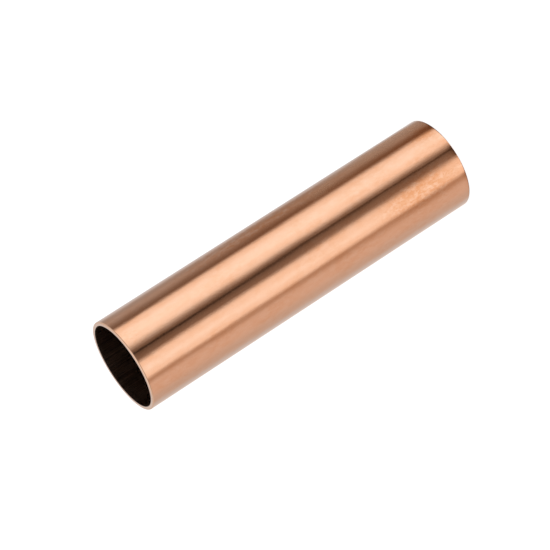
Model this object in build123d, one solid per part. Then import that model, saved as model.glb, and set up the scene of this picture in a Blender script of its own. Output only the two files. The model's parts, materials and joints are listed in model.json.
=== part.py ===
from build123d import *
import os

# A short straight length of round copper tube, standing on one of its ends.
# Millimetres. The tube's axis is Z, and the origin is the middle of the lower end,
# at the level of the floor.

# Driving dimensions
outside_diameter = 25.0
wall_thickness = 1.0
tube_length = 100.0

# Both ends are cut square and deburred: rounded over outside, just broken by a bevel inside
outer_edge_radius = 0.3
bore_edge_bevel = 0.05


def wall_section():
    """One wall of the tube, cut lengthwise on the +X side of the axis."""
    middle_of_wall = (outside_diameter - wall_thickness) / 2
    with BuildSketch(Plane.XZ) as section:
        with Locations((middle_of_wall, tube_length / 2)):
            Rectangle(wall_thickness, tube_length)
        fillet(section.vertices().group_by(Axis.X)[-1], outer_edge_radius)
        chamfer(section.vertices().group_by(Axis.X)[0], bore_edge_bevel)
    return section.sketch


def tube():
    """The wall turned once round the axis."""
    return revolve(wall_section(), Axis.Z)


os.makedirs("parts", exist_ok=True)
export_step(tube(), "parts/tube.step")
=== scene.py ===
import json
import math

import bmesh
import bpy
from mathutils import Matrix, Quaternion, Vector


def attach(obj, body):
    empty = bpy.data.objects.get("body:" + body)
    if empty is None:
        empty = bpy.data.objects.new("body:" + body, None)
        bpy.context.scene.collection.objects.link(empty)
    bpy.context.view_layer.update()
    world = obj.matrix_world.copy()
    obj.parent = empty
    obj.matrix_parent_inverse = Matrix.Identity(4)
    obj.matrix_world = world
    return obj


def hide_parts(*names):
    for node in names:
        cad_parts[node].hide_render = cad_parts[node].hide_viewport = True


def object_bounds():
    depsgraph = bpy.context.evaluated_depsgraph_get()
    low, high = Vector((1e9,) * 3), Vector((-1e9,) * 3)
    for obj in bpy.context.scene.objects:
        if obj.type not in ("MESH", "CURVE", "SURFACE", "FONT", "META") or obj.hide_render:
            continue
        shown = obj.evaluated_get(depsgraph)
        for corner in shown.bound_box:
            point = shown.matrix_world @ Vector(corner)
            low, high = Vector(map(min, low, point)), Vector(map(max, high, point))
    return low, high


# A short length of bright copper tube, standing on one end on a white floor.
# Metres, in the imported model's frame: the tube's axis is Z and its lower end is on the floor.

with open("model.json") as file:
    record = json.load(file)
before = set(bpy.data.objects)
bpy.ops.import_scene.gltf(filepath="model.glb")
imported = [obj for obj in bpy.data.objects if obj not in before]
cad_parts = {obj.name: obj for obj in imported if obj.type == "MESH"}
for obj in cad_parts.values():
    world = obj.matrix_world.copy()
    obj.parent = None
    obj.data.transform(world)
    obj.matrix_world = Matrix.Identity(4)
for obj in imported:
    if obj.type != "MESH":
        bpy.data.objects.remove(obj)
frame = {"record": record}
cad_low, cad_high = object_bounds()

MILLIMETRE = 0.001

# The tube's sizes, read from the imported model
mounts = {mount["name"]: mount["dims"] for mount in frame["record"]["mounts"]}
tube_length = cad_high.z - cad_low.z
outside_radius = mounts["outside_at_upper_end"]["r_mm"] * MILLIMETRE
bore_radius = mounts["bore"]["r_mm"] * MILLIMETRE
outer_edge_radius = (tube_length - mounts["outside_at_upper_end"]["length_mm"] * MILLIMETRE) / 2
bore_edge_bevel = (tube_length - mounts["bore"]["length_mm"] * MILLIMETRE) / 2

# How finely the tube is meshed
steps_round_axis = 256
steps_along_wall = 48
steps_round_outer_edge = 10
sharp_edge_angle = math.radians(30)

# The camera, fitted to the tube's outline in the photograph. The tube stands, so the picture is
# turned for its open upper end to point to the lower left. The lens is in millimetres, for a
# picture 36 mm wide.
camera_elevation = math.radians(20.17)
camera_distance = 656.5 * MILLIMETRE
camera_target = Vector((-1.41, 0.0, 54.0)) * MILLIMETRE
camera_turn = math.radians(-122.85)
lens_length = 172.5

# Copper, as linear colours
bright_copper = (0.955, 0.61, 0.43, 1.0)
warm_copper = (0.94, 0.57, 0.38, 1.0)
# The colour of the tarnish, and of the darker marks
tarnished_and_darker_copper = (0.84, 0.42, 0.22, 1.0)
hazy_copper = (1.0, 0.62, 0.39, 1.0)
fresh_cut_copper = (0.96, 0.71, 0.58, 1.0)
handled_copper = (0.90, 0.62, 0.48, 1.0)
# The bore's copper: unpolished, and darkened as painted shade for the dim inside of the tube
bore_pale_copper_and_painted_shade = (0.64, 0.48, 0.39, 1.0)
bore_dull_copper_and_painted_shade = (0.36, 0.27, 0.22, 1.0)

# How rough the copper is, and how much haze adds to that
polished_roughness = 0.07
tarnished_roughness = 0.14
roughness_from_haze = 0.5
cut_roughness = (0.24, 0.34)
bore_roughness = (0.18, 0.24)

# How deep the copper's relief is, in millimetres
wave_depth = 0.05
draw_line_depth = 0.003
mottle_depth = 0.006
speckle_depth = 0.006
cutter_line_depth = 0.002
cut_grain_depth = 0.003
bore_streak_depth = 0.003

# Most of a pattern's noise lies in the first range. Over the second, wider one it changes more
# gently.
full_noise = (0.3, 0.7)
wide_noise = (0.25, 0.75)

# The outside wall's tarnish and darkening, from none at 0 to full at 1. It is thin tarnish in
# patches all over the wall and stronger in its darker marks, and its grain multiplies it by
# tarnish_times.
patch_noise = (0.42, 0.68)
tarnish_in_patches = (0.05, 0.22)
speckle_share = 0.6
grain_noise = (0.66, 0.94)
tarnish_times = (0.15, 1.45)
darker_mark_raggedness = 0.3

# Its haze, also from 0 to 1. It is only in marks of its own, with less ragged edges, and the
# patches multiply it by haze_times.
haze_noise = (0.35, 0.65)
haze_times = (0.6, 1.3)
haze_raggedness = 0.06

# Marks on the outside wall. Each line has where its middle is, round the tube in degrees from the
# camera's side and up it in millimetres, how far it reaches across and along the tube in
# millimetres, and its strength.
# Marks that make the wall darker and more orange
DARKER_MARKS = (
    (-16, 13, 8, 22, 0.85),
    (28, -2, 6, 9, 0.4),
    (43, 3, 4.4, 9, 1.0),
    (62, 50, 6.5, 50, 0.95),
)
HAZY_MARKS = (
    (65, 3, 4.2, 14, 0.55),
    (66, 15, 4.8, 26, 0.7),
    (52, 33, 3.8, 20, 0.36),
)
# A mark is at its full strength up to this share of its reach
mark_core = 0.1

# The light in the studio has a tint, as linear colours
WHITE = (1.0, 1.0, 1.0)
CREAM = (1.0, 0.96, 0.93)
BLUSH = (1.0, 0.90, 0.83)
COOL = (1.0, 1.06, 1.14)
GREY = (1.0, 0.97, 0.98)
PALE = (1.0, 0.91, 0.88)
WARM = (1.0, 0.83, 0.75)
TAN = (1.0, 0.73, 0.57)
DEEP = (1.0, 0.56, 0.32)

# The studio that the tube mirrors, all round below eye level. Each line has an azimuth in
# degrees, a brightness and a tint at the top of the walls, and then the same three at their
# foot. Azimuth 0 is the camera's side, and 90 is to the right of the standing tube.
STUDIO = (
    # the sweep behind the tube, on its left
    (-180, 0.83, PALE, -180, 0.88, PALE),
    (-162, 0.73, CREAM, -162, 0.75, CREAM),
    (-147, 0.60, COOL, -147, 0.61, COOL),
    # the left wall, and the dark gap beside its lamp
    (-122, 0.57, PALE, -122, 0.59, PALE),
    (-86, 0.70, WARM, -90, 0.68, WARM),
    (-73, 0.70, WARM, -80, 0.68, WARM),
    (-60, 0.48, TAN, -60, 0.49, TAN),
    # the left lamp
    (-48, 1.00, BLUSH, -46.5, 1.02, BLUSH),
    (-35, 1.07, WHITE, -35, 1.07, CREAM),
    (-17.5, 1.02, BLUSH, -22, 1.01, BLUSH),
    # the dark room round the camera, with one black edge in it
    (-4, 0.21, TAN, -2, 0.26, TAN),
    (6, 0.14, TAN, 8, 0.19, TAN),
    (9.5, 0.02, DEEP, 12.5, 0.07, DEEP),
    (14, 0.18, TAN, 14.5, 0.21, TAN),
    # the right lamp
    (38.5, 1.05, CREAM, 35, 1.04, BLUSH),
    (50, 1.13, WHITE, 49, 1.09, WHITE),
    (62, 1.10, WHITE, 59, 1.06, WHITE),
    (76.8, 1.00, BLUSH, 71.2, 0.98, BLUSH),
    # the dark right wall
    (91, 0.20, TAN, 88.5, 0.18, DEEP),
    (118, 0.40, PALE, 116, 0.37, WARM),
    (133, 0.37, GREY, 133, 0.35, PALE),
    # the sweep behind the tube, on its right
    (156, 0.60, COOL, 156, 0.56, COOL),
    (180, 0.77, PALE, 180, 0.77, PALE),
)
# Where the parts of the studio are, as a direction's Z, which is -1 straight down and 1 straight up
top_of_walls = -0.29
foot_of_walls = -0.415
floor_starts = -0.43
floor_under_all = -0.65
dome_starts = -0.24
dome_over_all = -0.06
overhead_starts = 0.45
overhead_over_all = 0.9

# The contrast of the light from the floor's side, so high that only the lamps stay bright there
floor_contrast = 3.5

# The brightness above the walls, where the studio is dim, most of all over the camera, but for a
# lamp right overhead
dome_behind = 0.64
dome_over_camera = 0.32
dome_overhead = 1.0

# Where that light starts to change from over the camera to behind the tube, and where it has
# changed, as a direction's Y
camera_side_ends = -0.8
side_behind_starts = 0.6

# The floor. In the tube it is a little below the tube's foot, and all round it a little below that,
# so that no two faces lie in one place.
floor_radius = 3.0
floor_gap = 0.02 * MILLIMETRE
sides_of_disc = 96
floor_paint = (0.4, 0.4, 0.4, 1.0)
floor_glow = 0.83
floor_in_tube_paint = (0.7, 0.7, 0.7, 1.0)

# What the camera sees past the tube and the floor
plain_white = (1.0, 1.0, 1.0, 1.0)


def add_node(tree, kind, inputs=None, **settings):
    """A shader node, with its settings, and its inputs set to values or to other nodes' outputs."""
    node = tree.nodes.new(kind)
    for name, value in settings.items():
        setattr(node, name, value)
    for socket, value in (inputs or {}).items():
        if isinstance(value, bpy.types.NodeSocket):
            tree.links.new(value, node.inputs[socket])
        else:
            node.inputs[socket].default_value = value
    return node


def calculate(tree, operation, *values, clamp=False):
    """The result of a sum on values or on other nodes' outputs."""
    node = add_node(tree, "ShaderNodeMath", dict(enumerate(values)), operation=operation)
    node.use_clamp = clamp
    return node.outputs[0]


def between(tree, value, low, high, low_result=0.0, high_result=1.0, smooth=False):
    """The value's place between low and high, as a number between the two results.

    A smooth one starts and ends gently.
    """
    node = add_node(
        tree,
        "ShaderNodeMapRange",
        {0: value, 1: low, 2: high, 3: low_result, 4: high_result},
        interpolation_type="SMOOTHSTEP" if smooth else "LINEAR",
    )
    return node.outputs[0]


def new_material(name):
    """An empty material and its node tree, with the output node in it."""
    material = bpy.data.materials.new(name)
    material.use_nodes = True
    tree = material.node_tree
    tree.nodes.clear()
    return material, tree, add_node(tree, "ShaderNodeOutputMaterial")


def pattern(tree, width, length, detail=2.0, roughness=0.5, place=None):
    """Noise whose marks are this wide round the tube and this long along it, in millimetres."""
    place = place or add_node(tree, "ShaderNodeTexCoord").outputs["Object"]
    across = 1 / (width * MILLIMETRE)
    along = 1 / (length * MILLIMETRE)
    stretch = {"Vector": place, "Scale": (across, across, along)}
    stretched = add_node(tree, "ShaderNodeMapping", stretch).outputs["Vector"]
    settings = {"Vector": stretched, "Scale": 1.0, "Detail": detail, "Roughness": roughness}
    return add_node(tree, "ShaderNodeTexNoise", settings).outputs["Fac"]


def distance_from_axis(tree):
    """How far the surface is from the tube's axis, as the X of a vector."""
    place = add_node(tree, "ShaderNodeTexCoord").outputs["Object"]
    level = {0: place, 1: (1.0, 1.0, 0.0)}
    flat = add_node(tree, "ShaderNodeVectorMath", level, operation="MULTIPLY")
    away = add_node(tree, "ShaderNodeVectorMath", {0: flat.outputs[0]}, operation="LENGTH")
    return add_node(tree, "ShaderNodeCombineXYZ", {"X": away.outputs["Value"]}).outputs[0]


def mixed_colour(tree, share, first, second):
    """The first colour, turning into the second as the share goes from 0 to 1."""
    node = add_node(tree, "ShaderNodeMix", data_type="RGBA")
    for socket, value in (("Factor_Float", share), ("A_Color", first), ("B_Color", second)):
        target = next(i for i in node.inputs if i.identifier == socket)
        if isinstance(value, bpy.types.NodeSocket):
            tree.links.new(value, target)
        else:
            target.default_value = value
    return next(o for o in node.outputs if o.identifier == "Result_Color")


def relief(tree, *layers):
    """A surface normal from layers of fine relief: each is a height from 0 to 1, and its depth."""
    normal = None
    for height, depth in layers:
        inputs = {"Height": height, "Distance": depth * MILLIMETRE, "Strength": 1.0}
        if normal:
            inputs["Normal"] = normal
        normal = add_node(tree, "ShaderNodeBump", inputs).outputs["Normal"]
    return normal


def metal(tree, output, colour, roughness, normal):
    """Bare metal of this colour, roughness and surface normal."""
    inputs = {"Base Color": colour, "Metallic": 1.0, "Roughness": roughness, "Normal": normal}
    shader = add_node(tree, "ShaderNodeBsdfPrincipled", inputs)
    tree.links.new(shader.outputs["BSDF"], output.inputs["Surface"])


def strongest_mark(tree, marks, mottle, raggedness):
    """The strength of the strongest of these oval marks, each fading to 0 at its ragged edge."""
    place = add_node(tree, "ShaderNodeTexCoord").outputs["Object"]
    ragged = between(tree, mottle, *full_noise, -raggedness, raggedness)
    strongest = 0.0
    for azimuth, height, across, along, strength in marks:
        angle = math.radians(azimuth)
        side, front = outside_radius * math.sin(angle), -outside_radius * math.cos(angle)
        middle = (side, front, height * MILLIMETRE)
        reach = (1 / (across * MILLIMETRE), 1 / (across * MILLIMETRE), 1 / (along * MILLIMETRE))
        offset = add_node(tree, "ShaderNodeVectorMath", {0: place, 1: middle}, operation="SUBTRACT")
        scaled = {0: offset.outputs[0], 1: reach}
        shares = add_node(tree, "ShaderNodeVectorMath", scaled, operation="MULTIPLY")
        away = add_node(tree, "ShaderNodeVectorMath", {0: shares.outputs[0]}, operation="LENGTH")
        share = calculate(tree, "ADD", away.outputs["Value"], ragged)
        mark = between(tree, share, mark_core, 1.0, strength, 0.0, smooth=True)
        strongest = calculate(tree, "MAXIMUM", strongest, mark)
    return strongest


def tarnish_and_darkening_on_wall(tree, patches, mottle, speckle):
    """How tarnished and darkened the outside wall is, from 0 to 1: thin tarnish in patches, and the
    darker marks.
    """
    marks = strongest_mark(tree, DARKER_MARKS, mottle, darker_mark_raggedness)
    thin = between(tree, patches, *patch_noise, *tarnish_in_patches, smooth=True)
    dulled = calculate(tree, "MAXIMUM", thin, marks)
    grain = calculate(tree, "ADD", mottle, calculate(tree, "MULTIPLY", speckle, speckle_share))
    times = between(tree, grain, *grain_noise, *tarnish_times)
    return calculate(tree, "MULTIPLY", dulled, times, clamp=True)


def haze_on_wall(tree, patches, mottle):
    """How hazy the outside wall is, from 0 to 1."""
    marks = strongest_mark(tree, HAZY_MARKS, mottle, haze_raggedness)
    times = between(tree, patches, *haze_noise, *haze_times)
    return calculate(tree, "MULTIPLY", marks, times, clamp=True)


def drawn_copper():
    """The outside wall: bright drawn copper with fine lines along it, tarnish, darker marks and
    haze.
    """
    material, tree, output = new_material("drawn_copper")
    draw_lines = pattern(tree, width=0.3, length=30, detail=3.0)
    waves = pattern(tree, width=4, length=14, detail=1.0)
    patches = pattern(tree, width=5, length=11, detail=3.0)
    mottle = pattern(tree, width=1.5, length=2.6, detail=3.0, roughness=0.6)
    speckle = pattern(tree, width=0.55, length=0.9, detail=3.0, roughness=0.6)
    # The tarnish in patches and the darker marks, from 0 to 1
    tarnish = tarnish_and_darkening_on_wall(tree, patches, mottle, speckle)
    haze = haze_on_wall(tree, patches, mottle)

    copper = mixed_colour(tree, between(tree, mottle, *wide_noise), bright_copper, warm_copper)
    tarnished = mixed_colour(tree, tarnish, copper, tarnished_and_darker_copper)
    colour = mixed_colour(tree, haze, tarnished, hazy_copper)
    roughness = calculate(
        tree,
        "ADD",
        between(tree, tarnish, 0.0, 1.0, polished_roughness, tarnished_roughness),
        between(tree, haze, 0.0, 1.0, 0.0, roughness_from_haze, smooth=True),
    )
    normal = relief(
        tree,
        (waves, wave_depth),
        (draw_lines, draw_line_depth),
        (mottle, mottle_depth),
        (speckle, speckle_depth),
    )
    metal(tree, output, colour, roughness, normal)
    return material


def cut_copper():
    """The two ends: freshly cut copper, paler than the wall, with the cutter's lines."""
    material, tree, output = new_material("cut_copper")
    cutter_lines = pattern(tree, width=0.06, length=1, place=distance_from_axis(tree))
    grain = pattern(tree, width=0.25, length=0.25)
    colour = mixed_colour(tree, between(tree, grain, *full_noise), fresh_cut_copper, handled_copper)
    roughness = between(tree, grain, *full_noise, *cut_roughness)
    normal = relief(tree, (cutter_lines, cutter_line_depth), (grain, cut_grain_depth))
    metal(tree, output, colour, roughness, normal)
    return material


def bore_copper():
    """The bore: drawn copper that was never polished, duller than the outside, and darker: its
    colour is painted shade for the dim bore as well as unpolished copper.
    """
    material, tree, output = new_material("bore_copper")
    streaks = pattern(tree, width=0.5, length=20, detail=3.0)
    shade = between(tree, streaks, *full_noise)
    colour = mixed_colour(tree, shade, bore_dull_copper_and_painted_shade, bore_pale_copper_and_painted_shade)
    roughness = between(tree, streaks, *full_noise, *bore_roughness)
    normal = relief(tree, (streaks, bore_streak_depth))
    metal(tree, output, colour, roughness, normal)
    return material


def rounded_edge(height_of_end, inwards):
    """Points round an outer edge, from the outside wall to the end face, as (radius, height)."""
    centre = outside_radius - outer_edge_radius
    points = []
    for step in range(steps_round_outer_edge + 1):
        angle = math.pi / 2 * step / steps_round_outer_edge
        across = centre + outer_edge_radius * math.cos(angle)
        down = outer_edge_radius * (1 - math.sin(angle))
        points.append((across, height_of_end + inwards * down))
    return points


def wall_section():
    """The wall's section as (radius, height, next strip's kind), up outside and down inside."""
    low, high = cad_low.z, cad_high.z
    lower_edge = rounded_edge(low, 1)
    upper_edge = rounded_edge(high, -1)
    section = [(radius, height, "wall") for radius, height in reversed(lower_edge)]
    straight = tube_length - 2 * outer_edge_radius
    for step in range(1, steps_along_wall):
        height = low + outer_edge_radius + straight * step / steps_along_wall
        section.append((outside_radius, height, "wall"))
    section += [(radius, height, "wall") for radius, height in upper_edge[:-1]]
    section.append((*upper_edge[-1], "end"))
    section.append((bore_radius + bore_edge_bevel, high, "bore"))
    bore_straight = tube_length - 2 * bore_edge_bevel
    for step in range(steps_along_wall):
        height = high - bore_edge_bevel - bore_straight * step / steps_along_wall
        section.append((bore_radius, height, "bore"))
    section.append((bore_radius, low + bore_edge_bevel, "bore"))
    section.append((bore_radius + bore_edge_bevel, low, "end"))
    return section


def tube_mesh(materials):
    """The section turned once round the axis, each strip with its own material."""
    section = wall_section()
    order = list(materials)
    shape = bmesh.new()
    rings = []
    for radius, height, _ in section:
        ring = []
        for step in range(steps_round_axis):
            angle = 2 * math.pi * step / steps_round_axis
            corner = (radius * math.cos(angle), radius * math.sin(angle), height)
            ring.append(shape.verts.new(corner))
        rings.append(ring)
    for row, (_, _, strip) in enumerate(section):
        here, above = rings[row], rings[(row + 1) % len(rings)]
        for step in range(steps_round_axis):
            beside = (step + 1) % steps_round_axis
            face = shape.faces.new((here[step], here[beside], above[beside], above[step]))
            face.material_index = order.index(strip)
            face.smooth = True
    mesh = bpy.data.meshes.new("copper_tube")
    shape.to_mesh(mesh)
    shape.free()
    for name in order:
        mesh.materials.append(materials[name])
    mesh.set_sharp_from_angle(angle=sharp_edge_angle)
    return mesh


def add_tube():
    """The visible tube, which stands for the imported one."""
    materials = {"wall": drawn_copper(), "end": cut_copper(), "bore": bore_copper()}
    tube = bpy.data.objects.new("copper_tube", tube_mesh(materials))
    bpy.context.scene.collection.objects.link(tube)
    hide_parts("tube")
    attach(tube, "root")


def studio_ramp(tree, azimuth, stops):
    """The light by azimuth, from stops of an azimuth in degrees, a brightness and a tint."""
    turn = between(tree, azimuth, -math.pi, math.pi)
    ramp_node = add_node(tree, "ShaderNodeValToRGB", {0: turn})
    ramp = ramp_node.color_ramp
    ramp.interpolation = "EASE"
    ramp.elements.remove(ramp.elements[-1])
    for number, (degrees, brightness, tint) in enumerate(stops):
        share_of_turn = degrees / 360 + 0.5
        stop = ramp.elements[0] if number == 0 else ramp.elements.new(share_of_turn)
        stop.position = share_of_turn
        stop.color = (*(brightness * channel for channel in tint), 1.0)
    return ramp_node.outputs["Color"]


def studio_below(tree, direction):
    """The light from the walls, and from the floor's side, which keeps only their lamps."""
    to_camera = calculate(tree, "MULTIPLY", direction["Y"], -1.0)
    azimuth = calculate(tree, "ARCTAN2", direction["X"], to_camera)
    top = studio_ramp(tree, azimuth, [line[:3] for line in STUDIO])
    foot = studio_ramp(tree, azimuth, [line[3:] for line in STUDIO])
    low = between(tree, direction["Z"], top_of_walls, foot_of_walls)
    walls = mixed_colour(tree, low, top, foot)
    contrast = between(
        tree,
        direction["Z"],
        floor_starts,
        floor_under_all,
        1.0,
        floor_contrast,
        smooth=True,
    )
    return add_node(tree, "ShaderNodeGamma", {"Color": walls, "Gamma": contrast}).outputs[0]


def studio_above(tree, direction):
    """The grey light from above the walls."""
    dim = between(
        tree,
        direction["Y"],
        camera_side_ends,
        side_behind_starts,
        dome_over_camera,
        dome_behind,
        smooth=True,
    )
    return between(
        tree,
        direction["Z"],
        overhead_starts,
        overhead_over_all,
        dim,
        dome_overhead,
        smooth=True,
    )


def add_world():
    """Soft studio light from all round, and plain white where the camera looks past the tube."""
    world = bpy.data.worlds.new("studio")
    world.use_nodes = True
    world.cycles.sampling_method = "NONE"
    tree = world.node_tree
    tree.nodes.clear()
    output = add_node(tree, "ShaderNodeOutputWorld")
    place = add_node(tree, "ShaderNodeTexCoord").outputs["Generated"]
    direction = add_node(tree, "ShaderNodeSeparateXYZ", {0: place}).outputs
    above = between(tree, direction["Z"], dome_starts, dome_over_all, smooth=True)
    studio = mixed_colour(tree, above, studio_below(tree, direction), studio_above(tree, direction))
    path = add_node(tree, "ShaderNodeLightPath")
    colour = mixed_colour(tree, path.outputs["Is Camera Ray"], studio, plain_white)
    light = add_node(tree, "ShaderNodeBackground", {"Color": colour, "Strength": 1.0})
    tree.links.new(light.outputs["Background"], output.inputs["Surface"])
    bpy.context.scene.world = world


def disc(name, radius, height, material):
    """A flat round piece of floor."""
    shape = bmesh.new()
    bmesh.ops.create_circle(shape, cap_ends=True, segments=sides_of_disc, radius=radius)
    mesh = bpy.data.meshes.new(name)
    shape.to_mesh(mesh)
    shape.free()
    mesh.materials.append(material)
    piece = bpy.data.objects.new(name, mesh)
    piece.location.z = height
    bpy.context.scene.collection.objects.link(piece)
    return piece


def white_floor():
    """White for the camera, with the tube's soft shadow at its foot."""
    material, tree, output = new_material("white_floor")
    paint = add_node(tree, "ShaderNodeBsdfDiffuse", {"Color": floor_paint})
    path = add_node(tree, "ShaderNodeLightPath")
    glow = calculate(tree, "MULTIPLY", path.outputs["Is Camera Ray"], floor_glow)
    white = add_node(tree, "ShaderNodeEmission", {"Strength": glow})
    both = add_node(tree, "ShaderNodeAddShader", {0: paint.outputs[0], 1: white.outputs[0]})
    tree.links.new(both.outputs[0], output.inputs["Surface"])
    return material


def floor_under_tube():
    """The same floor inside the tube, where only the light that comes down the bore reaches it."""
    material, tree, output = new_material("floor_under_tube")
    paint = add_node(tree, "ShaderNodeBsdfDiffuse", {"Color": floor_in_tube_paint})
    tree.links.new(paint.outputs[0], output.inputs["Surface"])
    return material


def add_floor():
    """The floor. The tube doesn't mirror it, and shows the studio's walls instead."""
    floor = disc("floor", floor_radius, -2 * floor_gap, white_floor())
    floor.visible_glossy = False
    disc("floor_in_tube", bore_radius + bore_edge_bevel, -floor_gap, floor_under_tube())


def add_camera():
    """The camera, looking down at the standing tube and turned about its own line of sight."""
    back = Vector((0.0, -math.cos(camera_elevation), math.sin(camera_elevation)))
    camera = bpy.data.objects.new("camera", bpy.data.cameras.new("camera"))
    camera.data.lens = lens_length
    camera.location = camera_target + back * camera_distance
    camera.rotation_mode = "QUATERNION"
    level = (-back).to_track_quat("-Z", "Y")
    camera.rotation_quaternion = level @ Quaternion((0.0, 0.0, 1.0), camera_turn)
    bpy.context.scene.collection.objects.link(camera)
    bpy.context.scene.camera = camera


add_camera()
add_world()
add_floor()
add_tube()
bpy.context.scene.view_settings.view_transform = "Standard"
